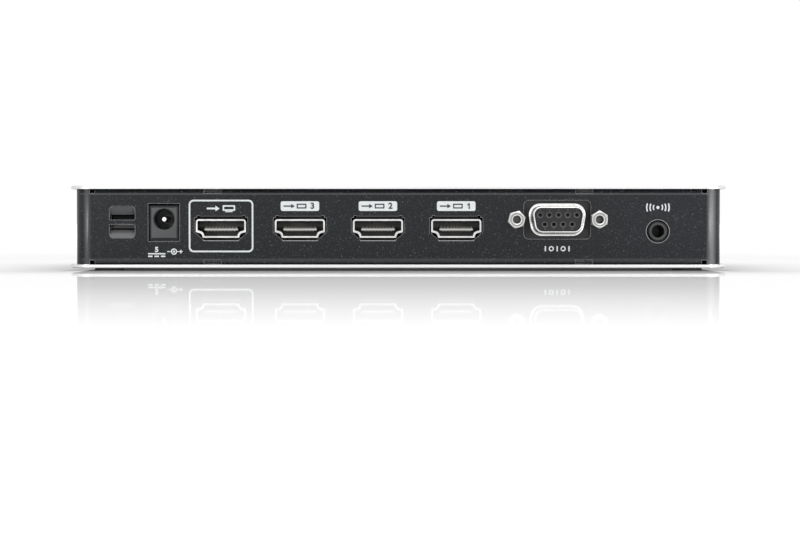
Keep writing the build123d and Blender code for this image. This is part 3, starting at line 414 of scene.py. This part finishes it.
def make_materials():
    """A finish for each material slot of the record, for printing ink and for single nodes."""
    brushed = (0.03, 1, 1)
    power = middle("power_jack_pin")
    audio = middle("audio_jack_housing")
    plate = {
        "roughness": 0.36, "mottle_mm": 0.9, "mottle": 0.03, "grain_mm": 0.25,
        "grain_depth_mm": 0.002, "uneven": 0.03, "stretch": brushed,
    }
    insulator = {"roughness": 0.45, "grain_mm": 0.12, "grain_depth_mm": 0.006, "specular": 0.35}
    nickel = {
        "mottle_mm": 2.0, "mottle": 0.08, "grain_mm": 0.12, "grain_depth_mm": 0.002, "uneven": 0.06,
    }
    ink = {"roughness": 0.5, "mottle_mm": 0.8, "grain_mm": 0.1, "grain_depth_mm": 0.004}
    settings_of = {
        "cover_silver": dict(colour=(0.765, 0.765, 0.77), metallic=0.35, **plate),
        # Lighter copy of the cover's silver for the bottom cover: painted light
        "base_silver_painted_light": dict(colour=(0.93, 0.93, 0.935), metallic=0.25, **plate),
        "chassis_black": dict(
            colour=(0.0032, 0.0046, 0.0064), roughness=0.18, mottle_mm=9.0,
            grain_mm=0.22, grain_depth_mm=0.006, uneven=0.04, specular=0.32,
            layers=chassis_layers(),
            satin=(0.36, either(before(X, -95.2, -92.6), beyond(X, 92.6, 95.2))),
        ),
        "bezel_black": dict(
            colour=(0.006, 0.006, 0.007), roughness=0.1, mottle_mm=18.0, grain_mm=0.8,
            grain_depth_mm=0.001, uneven=0.04, specular=0.3, coat=0.25,
        ),
        "button_black": dict(
            colour=(0.02, 0.02, 0.022), roughness=0.32, grain_mm=0.15, grain_depth_mm=0.004,
        ),
        "window_tint": dict(
            colour=(0.03, 0.003, 0.004), roughness=0.08, uneven=0.03, grain_mm=1.0,
            grain_depth_mm=0.001, coat=0.5,
        ),
        "foot_rubber": dict(
            colour=(0.06, 0.06, 0.06), roughness=0.8, grain_mm=0.3, grain_depth_mm=0.02,
            specular=0.2,
        ),
        "zinc_steel": dict(
            colour=(0.6, 0.6, 0.58), roughness=0.32, metallic=1.0, grain_mm=0.15,
            grain_depth_mm=0.003,
        ),
        "nickel_plate": dict(colour=(0.6, 0.59, 0.57), roughness=0.3, metallic=1.0, **nickel),
        "serial_nickel": dict(
            colour=(0.86, 0.855, 0.845), roughness=0.28, metallic=0.85, **nickel,
            # Painted shade on the shell's faces that look sideways
            layers=(paint((0.2, 0.2, 0.195), leaning(Y, 0.0, 0.45, 0.3)),),
        ),
        "socket_nickel": dict(
            colour=(0.64, 0.64, 0.635), roughness=0.28, metallic=1.0, **nickel,
            layers=(
                # Painted shade inside the shell behind its mouth, lifted to a painted highlight on
                # the springs' front faces
                paint((0.09, 0.09, 0.088), beyond(Y, -35.0, -34.85)),
                paint(
                    (0.45, 0.45, 0.44),
                    beyond(Y, -34.8, -34.7), leaning(Y, 1.0, 0.5), along(Z, 14.8, 0.35),
                ),
            ),
        ),
        "jackscrew_zinc": dict(
            colour=(0.66, 0.66, 0.65), roughness=0.32, metallic=0.75, **nickel,
            layers=(
                # Edges lighter for wear and painted highlight, a darker ring on the front face, a
                # painted highlight on the bore's mouth, and painted shade in the bore and on its
                # thread
                worn_edges((0.9, 0.9, 0.89), 0.25, 0.8),
                paint((0.28, 0.28, 0.275), jackscrew_rings(1.6, 2.0, 0.12), leaning(Y, 1.0, 0.2)),
                paint((0.95, 0.95, 0.94), jackscrew_rings(1.2, 1.5)),
                paint((0.17, 0.17, 0.165), jackscrew_rings(-1.22, 1.22)),
            ),
        ),
        "pin_nickel": dict(
            colour=(0.95, 0.945, 0.93), roughness=0.3, metallic=1.0, **nickel,
            layers=(
                # Dark dot at the tip's centre, and painted shade on the pin's side deep in the jack
                paint((0.1, 0.1, 0.1), ring(power, -0.12, 0.12, 0.1)),
                paint((0.04, 0.04, 0.04), beyond(Y, -33.4, -33.2)),
            ),
        ),
        "brass_plain": dict(
            colour=(0.72, 0.52, 0.24), roughness=0.28, metallic=1.0, grain_mm=0.1,
            grain_depth_mm=0.002,
        ),
        "contact_gold": dict(
            colour=(0.35, 0.33, 0.28), roughness=0.25, metallic=1.0, grain_mm=0.1,
            grain_depth_mm=0.001,
        ),
        "contact_dull": dict(
            colour=(0.1, 0.09, 0.07), roughness=0.4, metallic=1.0, grain_mm=0.1,
            grain_depth_mm=0.001,
        ),
        "insulator_black": dict(colour=(0.012, 0.012, 0.013), **insulator),
        "socket_black": dict(
            colour=(0.012, 0.012, 0.013), **insulator,
            layers=(
                # Painted light on faces that look along Y, lightening the socket's back wall; the
                # tongue's front face painted pale
                paint((0.062, 0.06, 0.056), leaning(Y, 1.0, 0.3)),
                paint((0.56, 0.56, 0.55), before(Y, -33.6, -33.45), along(Z, 12.44, 0.26, 0.08)),
            ),
        ),
        "serial_black": dict(
            colour=(0.008, 0.008, 0.009), **insulator,
            # Painted highlight on sloping faces such as the contact holes' mouths
            layers=(paint((0.11, 0.11, 0.115), leaning(Y, 0.7, 0.15)),),
        ),
        "jack_black": dict(
            colour=(0.057, 0.0595, 0.0615), roughness=0.4, grain_mm=0.15, grain_depth_mm=0.006,
        ),
        "audio_black": dict(
            colour=(0.035, 0.036, 0.038), roughness=0.35, grain_mm=0.15, grain_depth_mm=0.004,
            layers=(
                # Painted shade in the gap round the bush and in its bore
                paint((0.003, 0.003, 0.003), ring(audio, 2.62, 3.2)),
                paint((0.003, 0.003, 0.003), ring(audio, -1.98, 1.98)),
            ),
        ),
        "board_green": dict(
            colour=(0.012, 0.09, 0.035), roughness=0.35, mottle_mm=3.0, mottle=0.2, grain_mm=0.4,
            # Painted shade on the board's front part, in the gap behind the panel
            layers=(paint((0.006, 0.008, 0.006), before(Y, -32.0, -31.9)),),
        ),
        "chip_black": dict(colour=(0.02, 0.02, 0.022), roughness=0.6, grain_mm=0.1),
        "ferrite_grey": dict(colour=(0.08, 0.08, 0.08), roughness=0.7, grain_mm=0.2),
        "can_aluminium": dict(
            colour=(0.75, 0.76, 0.77), roughness=0.3, metallic=1.0, grain_mm=0.2,
            grain_depth_mm=0.002,
        ),
        "ceramic_tan": dict(colour=(0.45, 0.33, 0.2), roughness=0.5, grain_mm=0.15),
        "light_clear": dict(
            colour=(0.72, 0.75, 0.7), roughness=0.3, uneven=0.05, grain_mm=0.3,
            grain_depth_mm=0.002,
        ),
        "white_ink": dict(colour=(0.73, 0.765, 0.775), mottle=0.03, **ink),
        "dark_ink": dict(colour=(0.03, 0.03, 0.033), **ink),
        "faint_ink": dict(colour=(0.07, 0.07, 0.072), **ink),
    }
    return {name: material_of(name, **settings) for name, settings in settings_of.items()}


def dress_nodes(materials):
    """Give every CAD node its finish, and the chassis finely rounded edges."""
    finish_of = {part["node"]: part["material_slot"] for part in frame["record"]["subparts"]}
    for name in NODES:
        if name.endswith("_socket_shell"):
            finish_of[name] = "socket_nickel"
        elif name.endswith("_socket_insulator"):
            finish_of[name] = "socket_black"
    finish_of.update({
        "bottom_cover": "base_silver_painted_light",
        "jackscrew_left": "jackscrew_zinc",
        "jackscrew_right": "jackscrew_zinc",
        "power_jack_pin": "pin_nickel",
        "serial_port_contacts": "contact_dull",
        "serial_port_shell": "serial_nickel",
        "serial_port_housing": "serial_black",
        "audio_jack_housing": "audio_black",
    })
    for name, node in NODES.items():
        node.data.materials.clear()
        node.data.materials.append(materials[finish_of[name]])
    chassis = NODES["rear_chassis"]
    weld = chassis.modifiers.new("weld", "WELD")
    weld.merge_threshold = 0.001 * MM
    bevel = chassis.modifiers.new("bevel", "BEVEL")
    bevel.width = 0.12 * MM
    bevel.segments = 2
    bevel.angle_limit = math.radians(40)


def rounded_box(x, z, width, height, radius=0.0):
    """Closed outline of a rectangle with round corners, in millimetres."""
    points = []
    corners = ((1, 1, 0), (-1, 1, 1), (-1, -1, 2), (1, -1, 3))
    for side, up, quarter in corners:
        centre_x = x + side * (width / 2 - radius)
        centre_z = z + up * (height / 2 - radius)
        if radius == 0:
            points.append((centre_x, centre_z))
            continue
        for step in range(ARC_STEPS + 1):
            angle = math.pi / 2 * (quarter + step / ARC_STEPS)
            points.append(
                (centre_x + radius * math.cos(angle), centre_z + radius * math.sin(angle))
            )
    return points


def plus_outline(x, z, size, line):
    """Closed outline of a plus sign."""
    outer = size / 2
    inner = line / 2
    quarter = [(outer, -inner), (outer, inner), (inner, inner)]
    points = []
    for turn in range(4):
        cos = round(math.cos(math.pi / 2 * turn))
        sin = round(math.sin(math.pi / 2 * turn))
        points += [(x + cos * u - sin * v, z + sin * u + cos * v) for u, v in quarter]
    return points


def one_outline(x, z, height):
    """Closed outline of a plain figure one with a flag."""
    top = z + height / 2
    low = z - height / 2
    right = x + 0.34
    left = x - 0.06
    flag = x - 0.42
    return [
        (right, low), (right, top), (x, top), (flag, top - 0.38), (flag, top - 0.8),
        (left, top - 0.55), (left, low),
    ]


def disc(x, z, radius):
    """Closed outline of a circle."""
    count = ARC_STEPS * 4
    turns = [2 * math.pi * step / count for step in range(count)]
    return [(x + radius * math.cos(turn), z + radius * math.sin(turn)) for turn in turns]


def arc_band(x, z, radius, line, half_angle, side=1):
    """Closed outline of a thick arc round a point, on one side of it."""
    half = math.radians(half_angle)
    turns = [half * (2 * step / ARC_STEPS - 1) for step in range(ARC_STEPS + 1)]
    outer = radius + line / 2
    inner = radius - line / 2
    points = [(x + side * outer * math.cos(turn), z + outer * math.sin(turn)) for turn in turns]
    points += [
        (x + side * inner * math.cos(turn), z + inner * math.sin(turn)) for turn in turns[::-1]
    ]
    return points


def settle(name, flat, lift_mm, material, face_y, side):
    """Turn a flat curve into a thin solid on a face that looks along -Y or +Y."""
    flat.data.extrude = INK_THICKNESS * MM / 2
    flat.rotation_euler = (math.pi / 2, 0, 0 if side < 0 else math.pi)
    flat.location.y = face_y + side * (lift_mm + INK_THICKNESS / 2) * MM
    bpy.context.view_layer.update()
    depsgraph = bpy.context.evaluated_depsgraph_get()
    mesh = bpy.data.meshes.new_from_object(flat.evaluated_get(depsgraph))
    mesh.transform(flat.matrix_world)
    piece = bpy.data.objects.new(name, mesh)
    bpy.context.scene.collection.objects.link(piece)
    bpy.data.objects.remove(flat)
    piece.data.materials.clear()
    piece.data.materials.append(material)
    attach(piece, "case")


def printed(name, outlines, material, lift_mm=-INK_SINK, face_y=PANEL_Y, side=-1):
    """Ink printed on a face: closed outlines in millimetres, holes included."""
    curve = bpy.data.curves.new(name, "CURVE")
    curve.dimensions = "2D"
    curve.fill_mode = "BOTH"
    for outline in outlines:
        spline = curve.splines.new("POLY")
        spline.points.add(len(outline) - 1)
        for point, (x, z) in zip(spline.points, outline):
            point.co = (-side * x * MM, z * MM, 0, 1)
        spline.use_cyclic_u = True
    flat = bpy.data.objects.new(name + "_flat", curve)
    bpy.context.scene.collection.objects.link(flat)
    settle(name, flat, lift_mm, material, face_y, side)


def numeral(
    name, text, x, z, height, material, lift_mm=-INK_SINK, face_y=PANEL_Y, side=-1, bold=0.1
):
    """Plain digit printed on a face, in millimetres."""
    curve = bpy.data.curves.new(name, "FONT")
    curve.body = text
    curve.align_x = "CENTER"
    curve.align_y = "CENTER"
    curve.size = height / DIGIT_SHARE * MM
    curve.offset = bold * MM
    flat = bpy.data.objects.new(name + "_flat", curve)
    bpy.context.scene.collection.objects.link(flat)
    flat.location = (x * MM, 0, z * MM)
    settle(name, flat, lift_mm, material, face_y, side)


def print_panel(materials):
    """Frame round the output, plates over the inputs and plain symbols at the other ports."""
    white = materials["white_ink"]
    output = (middle("output_socket_shell") / MM).x
    frame_lines = [
        rounded_box(output, FRAME_Z, *FRAME_OUTSIDE), rounded_box(output, FRAME_Z, *FRAME_INSIDE)
    ]
    printed("output_frame", frame_lines, white)
    for number in (1, 2, 3):
        print_input_plate(number, middle(f"input_{number}_socket_shell").x / MM, materials)
    print_output_symbol(output, white)
    print_power_symbols(white)
    print_serial_symbol(white)
    print_infrared_symbol(white)
    print_serial_numbers(materials["faint_ink"])


def print_input_plate(number, x, materials):
    """White plate with an arrow, the outline of a socket's mouth and the input's number."""
    dark = materials["dark_ink"]
    z = PLATE_Z
    lift = INK_THICKNESS - 2 * INK_SINK
    name = f"input_{number}"
    plate = rounded_box(x, z, *PLATE_SIZE)
    shaft = rounded_box(x - 3.85, z, 2.3, 0.42)
    head = [(x - 2.7, z + 0.7), (x - 1.55, z), (x - 2.7, z - 0.7)]
    mouth = [rounded_box(x + 0.5, z, 3.0, 1.5, 0.25), rounded_box(x + 0.5, z, 2.2, 0.7, 0.1)]
    printed(f"{name}_plate", [plate], materials["white_ink"])
    printed(f"{name}_arrow_shaft", [shaft], dark, lift)
    printed(f"{name}_arrow_head", [head], dark, lift)
    printed(f"{name}_opening", mouth, dark, lift)
    right = x + 3.8
    if number == 1:
        printed(f"{name}_numeral", [one_outline(right, z, 1.8)], dark, lift)
    else:
        numeral(f"{name}_numeral", str(number), right, z, 1.75, dark, lift)


def print_output_symbol(x, material):
    """An arrow that points into a small screen."""
    z = OUTPUT_SYMBOL_Z
    shaft = rounded_box(x - 3.0, z, 2.6, 0.55)
    head = [(x - 1.7, z + 0.82), (x - 0.4, z), (x - 1.7, z - 0.82)]
    right = x + 2.4
    screen = [
        rounded_box(right, z + 0.14, 3.8, 1.7, 0.25), rounded_box(right, z + 0.14, 2.9, 0.8, 0.1)
    ]
    foot = rounded_box(right, z - 0.95, 2.2, 0.3)
    printed("output_arrow", [shaft], material)
    printed("output_arrow_head", [head], material)
    printed("output_screen", screen, material)
    printed("output_screen_foot", [foot], material)


def print_power_symbols(material):
    """Direct-current sign, polarity sign and a plain number under the power inlet."""
    left, right = DIRECT_CURRENT_ENDS
    z = DIRECT_CURRENT_Z
    centre = (left + right) / 2
    bar = rounded_box(centre, z + 0.4, right - left, 0.4)
    printed("direct_current_bar", [bar], material)
    for number in range(3):
        x = left + DASH_LENGTH / 2 + number * (right - left - DASH_LENGTH) / 2
        dash = rounded_box(x, z - 0.38, DASH_LENGTH, 0.45)
        printed(f"direct_current_dash_{number}", [dash], material)
    numeral("supply_numeral", "5", centre, SUPPLY_NUMERAL_Z, 1.45, material)
    x, z = POLARITY_X, POLARITY_Z
    for name, outlines in {
        "polarity_ring": [disc(x, z, 0.95), disc(x, z, 0.6)],
        "polarity_core": [disc(x, z, 0.34)],
        "polarity_minus": [rounded_box(x - 1.7, z, 0.75, 0.3)],
        "polarity_minus_lead": [rounded_box(x - 1.137, z, 0.375, 0.2)],
        "polarity_plus_lead": [rounded_box(x + 1.262, z, 0.625, 0.2)],
        "polarity_plus": [plus_outline(x + 2.1, z, 1.05, 0.32)],
    }.items():
        printed(name, outlines, material)


def print_serial_symbol(material):
    """Bars and rings, the usual sign of a serial port."""
    x = middle("serial_port_shell").x / MM
    z = SERIAL_SYMBOL_Z
    for number, kind in enumerate(("bar", "ring", "bar", "ring", "bar")):
        place = x + (number - 2) * SERIAL_SYMBOL_PITCH
        if kind == "bar":
            outlines = [rounded_box(place, z, 0.42, 1.6)]
        else:
            outlines = [disc(place, z, 0.8), disc(place, z, 0.44)]
        printed(f"serial_{kind}_{number}", outlines, material)


def print_infrared_symbol(material):
    """A dot with waves to both sides, over the infrared jack."""
    x = middle("audio_jack_housing").x / MM
    z = INFRARED_SYMBOL_Z
    printed("infrared_dot", [disc(x, z, 0.48)], material)
    for name, side in (("infrared_left", -1), ("infrared_right", 1)):
        for number in range(3):
            band = arc_band(x, z, 1.4 + WAVE_PITCH * number, 0.4, 33 - 6 * number, side)
            printed(f"{name}_{number}", [band], material)


def print_serial_numbers(material):
    """Faint contact numbers on the face of the serial port."""
    shell = middle("serial_port_shell") / MM
    face_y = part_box("serial_port_housing")[0].y
    for number in range(1, 10):
        upper = number <= 5
        place = number - 3 if upper else number - 7.5
        x = shell.x + place * CONTACT_PITCH
        z = shell.z + (CONTACT_NUMBER_OFFSET if upper else -CONTACT_NUMBER_OFFSET)
        numeral(
            f"serial_number_{number}", str(number), x, z, 0.62, material,
            face_y=face_y, bold=0.02,
        )


def print_bezel(material):
    """Numbers under the input lights and a power sign under its light."""
    low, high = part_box("status_lights")
    lens_radius = (high.z - low.z) / MM / 2
    z = low.z / MM - LIGHT_NUMBER_DROP
    first = low.x / MM + lens_radius
    last = high.x / MM - lens_radius
    for number in (1, 2, 3):
        numeral(
            f"light_number_{number}", str(number), first + LIGHT_PITCH * (3 - number), z, 1.9,
            material, face_y=BEZEL_Y, side=1, bold=0.04,
        )
    arc = arc_band(0, 0, 0.85, 0.26, 140)
    turned = [(last + v, z - u) for u, v in arc]
    bar = rounded_box(last, z + 0.75, 0.26, 1.0)
    printed("power_sign_ring", [turned], material, face_y=BEZEL_Y, side=1)
    printed("power_sign_bar", [bar], material, face_y=BEZEL_Y, side=1)


def thread_liner(node, material):
    """Helical ridge on the wall of a jackscrew's bore."""
    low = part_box(node)[0]
    centre = middle(node)
    pitch = 0.635 * MM
    mouth_inset = 0.35 * MM
    half_ridge = 0.26 * MM
    root, crest = 1.205 * MM, 1.03 * MM
    profile = ((root, -half_ridge), (crest, 0.0), (root, half_ridge))
    corners = len(profile)
    turns = 5
    steps = 24
    points = []
    for step in range(turns * steps + 1):
        angle = 2 * math.pi * step / steps
        y = low.y + mouth_inset + half_ridge + pitch * step / steps
        for radius, shift in profile:
            x = centre.x + radius * math.cos(angle)
            z = centre.z + radius * math.sin(angle)
            points.append((x, y + shift, z))
    faces = []
    for step in range(turns * steps):
        here = step * corners
        ahead = here + corners
        for edge in range(corners):
            other = (edge + 1) % corners
            faces.append((here + edge, here + other, ahead + other, ahead + edge))
    last = turns * steps * corners
    faces += [(2, 1, 0), (last, last + 1, last + 2)]
    mesh = bpy.data.meshes.new(node + "_thread")
    mesh.from_pydata(points, [], faces)
    mesh.shade_smooth()
    piece = bpy.data.objects.new(node + "_thread", mesh)
    bpy.context.scene.collection.objects.link(piece)
    mesh.materials.append(material)
    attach(piece, "case")


def add_light(name, azimuth, distance, height, size, radiance):
    """Soft rectangular lamp that points at the object and that the camera doesn't see."""
    lamp = bpy.data.lights.new(name, "AREA")
    lamp.shape = "RECTANGLE"
    lamp.size, lamp.size_y = size
    lamp.energy = radiance * math.pi * size[0] * size[1]
    holder = bpy.data.objects.new(name, lamp)
    bpy.context.scene.collection.objects.link(holder)
    turn = math.radians(azimuth)
    place = Vector((distance * math.sin(turn), -distance * math.cos(turn), height))
    holder.location = place
    aim = Vector((0, 0, LAMP_AIM_HEIGHT))
    holder.rotation_euler = (aim - place).to_track_quat("-Z", "Y").to_euler()
    holder.visible_camera = False


def add_lights():
    """Two low soft boxes beside the camera and one large soft box overhead."""
    for name, values in LAMPS.items():
        add_light(name, *values)


def white_share(tree):
    """One for camera, glossy and transmission rays, which see the white background."""
    path = tree.nodes.new("ShaderNodeLightPath")
    total = None
    for ray in ("Is Camera Ray", "Is Glossy Ray", "Is Transmission Ray"):
        if total is None:
            total = path.outputs[ray]
            continue
        most = tree.nodes.new("ShaderNodeMath")
        most.operation = "MAXIMUM"
        tree.links.new(total, most.inputs[0])
        tree.links.new(path.outputs[ray], most.inputs[1])
        total = most.outputs[0]
    return total


def add_world():
    """White surroundings to look at, and an even soft light from all round."""
    world = bpy.data.worlds.new("studio")
    bpy.context.scene.world = world
    world.use_nodes = True
    tree = world.node_tree
    background = tree.nodes["Background"]
    background.inputs["Color"].default_value = (1, 1, 1, 1)
    strength = tree.nodes.new("ShaderNodeMapRange")
    strength.inputs["To Min"].default_value = WORLD_DIFFUSE
    strength.inputs["To Max"].default_value = 1.0
    tree.links.new(white_share(tree), strength.inputs["Value"])
    tree.links.new(strength.outputs["Result"], background.inputs["Strength"])


def add_floor():
    """Polished white floor with a painted contact shadow, whose mirror image fades away from the
    object.
    """
    mesh = bpy.data.meshes.new("floor")
    corners = [
        (x * FLOOR_HALF_WIDTH, y * FLOOR_HALF_WIDTH, FLOOR_LEVEL)
        for x, y in ((-1, -1), (1, -1), (1, 1), (-1, 1))
    ]
    mesh.from_pydata(corners, [], [(0, 1, 2, 3)])
    floor = bpy.data.objects.new("floor", mesh)
    bpy.context.scene.collection.objects.link(floor)
    material = bpy.data.materials.new("floor_white")
    material.use_nodes = True
    tree = material.node_tree
    tree.nodes.remove(tree.nodes["Principled BSDF"])
    output = tree.nodes["Material Output"]
    geometry = add_node(material, "ShaderNodeNewGeometry")
    outside = add_node(material, "ShaderNodeVectorMath", operation="ABSOLUTE")
    link(material, geometry.outputs["Position"], outside.inputs[0])
    excess = add_node(material, "ShaderNodeVectorMath", operation="SUBTRACT")
    link(material, outside.outputs[0], excess.inputs[0])
    excess.inputs[1].default_value = (cad_box[1].x, -cad_box[0].y, 0)
    clamped = add_node(material, "ShaderNodeVectorMath", operation="MAXIMUM")
    link(material, excess.outputs[0], clamped.inputs[0])
    clamped.inputs[1].default_value = (0, 0, 0)
    distance = add_node(material, "ShaderNodeVectorMath", operation="LENGTH")
    link(material, clamped.outputs[0], distance.inputs[0])

    def ramp(start, end, near_value, far_value):
        """Value that changes between two distances from the object, in metres."""
        return ranged(material, distance.outputs["Value"], start, end, near_value, far_value)

    # Painted contact shadow: floor colour and glow lower under and near the object, with a faint
    # painted glow under it; further out the glow keeps the open floor white
    diffuse = add_node(material, "ShaderNodeBsdfDiffuse")
    paleness = computed(
        material, "MINIMUM", ramp(0.0, 0.006, 0.27, 0.85), ramp(0.0, 0.03, 0.6, 0.85)
    )
    link(material, paleness, diffuse.inputs["Color"])
    glow = add_node(material, "ShaderNodeEmission")
    lift = computed(material, "ADD", ramp(0.0, 0.06, 0.04, 0.31), ramp(0.15, 1.3, 0.0, 0.95))
    link(material, computed(material, "MULTIPLY", lift, white_share(tree)), glow.inputs["Strength"])
    lit = add_node(material, "ShaderNodeAddShader")
    link(material, diffuse.outputs[0], lit.inputs[0])
    link(material, glow.outputs[0], lit.inputs[1])

    # Mirror image that is weaker at the object's foot and fades out with distance
    mirror = add_node(material, "ShaderNodeBsdfAnisotropic")
    mirror.inputs["Roughness"].default_value = 0.02
    mirror.inputs["Color"].default_value = (1, 1, 1, 1)
    fresnel = add_node(material, "ShaderNodeFresnel")
    fresnel.inputs["IOR"].default_value = 1.45
    fade = computed(
        material, "MINIMUM", ramp(0.0, 0.48, 0.63, 0.0), ramp(0.0, 0.05, 0.45, 0.63)
    )
    share = computed(material, "MULTIPLY", fade, fresnel.outputs[0])
    surface = add_node(material, "ShaderNodeMixShader")
    link(material, share, surface.inputs[0])
    link(material, lit.outputs[0], surface.inputs[1])
    link(material, mirror.outputs[0], surface.inputs[2])
    link(material, surface.outputs[0], output.inputs["Surface"])
    mesh.materials.append(material)


def add_camera():
    """Camera at the photograph's viewing angle."""
    data = bpy.data.cameras.new("camera")
    data.sensor_width = SENSOR_WIDTH_MM
    data.lens = PX_PER_METRE * SENSOR_WIDTH_MM * CAMERA_DISTANCE / IMAGE_WIDTH_PX
    data.clip_start = 0.05
    data.clip_end = 50.0
    camera = bpy.data.objects.new("camera", data)
    bpy.context.scene.collection.objects.link(camera)
    target = Vector((AIM_X, PANEL_Y, AIM_Z))
    camera.location = (AIM_X, PANEL_Y - CAMERA_DISTANCE, CAMERA_HEIGHT)
    camera.rotation_euler = (target - camera.location).to_track_quat("-Z", "Y").to_euler()
    bpy.context.scene.camera = camera


bpy.context.scene.view_settings.view_transform = "Standard"
finishes = make_materials()
dress_nodes(finishes)
print_panel(finishes)
print_bezel(finishes["white_ink"])
for jackscrew in JACKSCREWS:
    thread_liner(jackscrew, finishes["jackscrew_zinc"])
add_lights()
add_world()
add_floor()
add_camera()
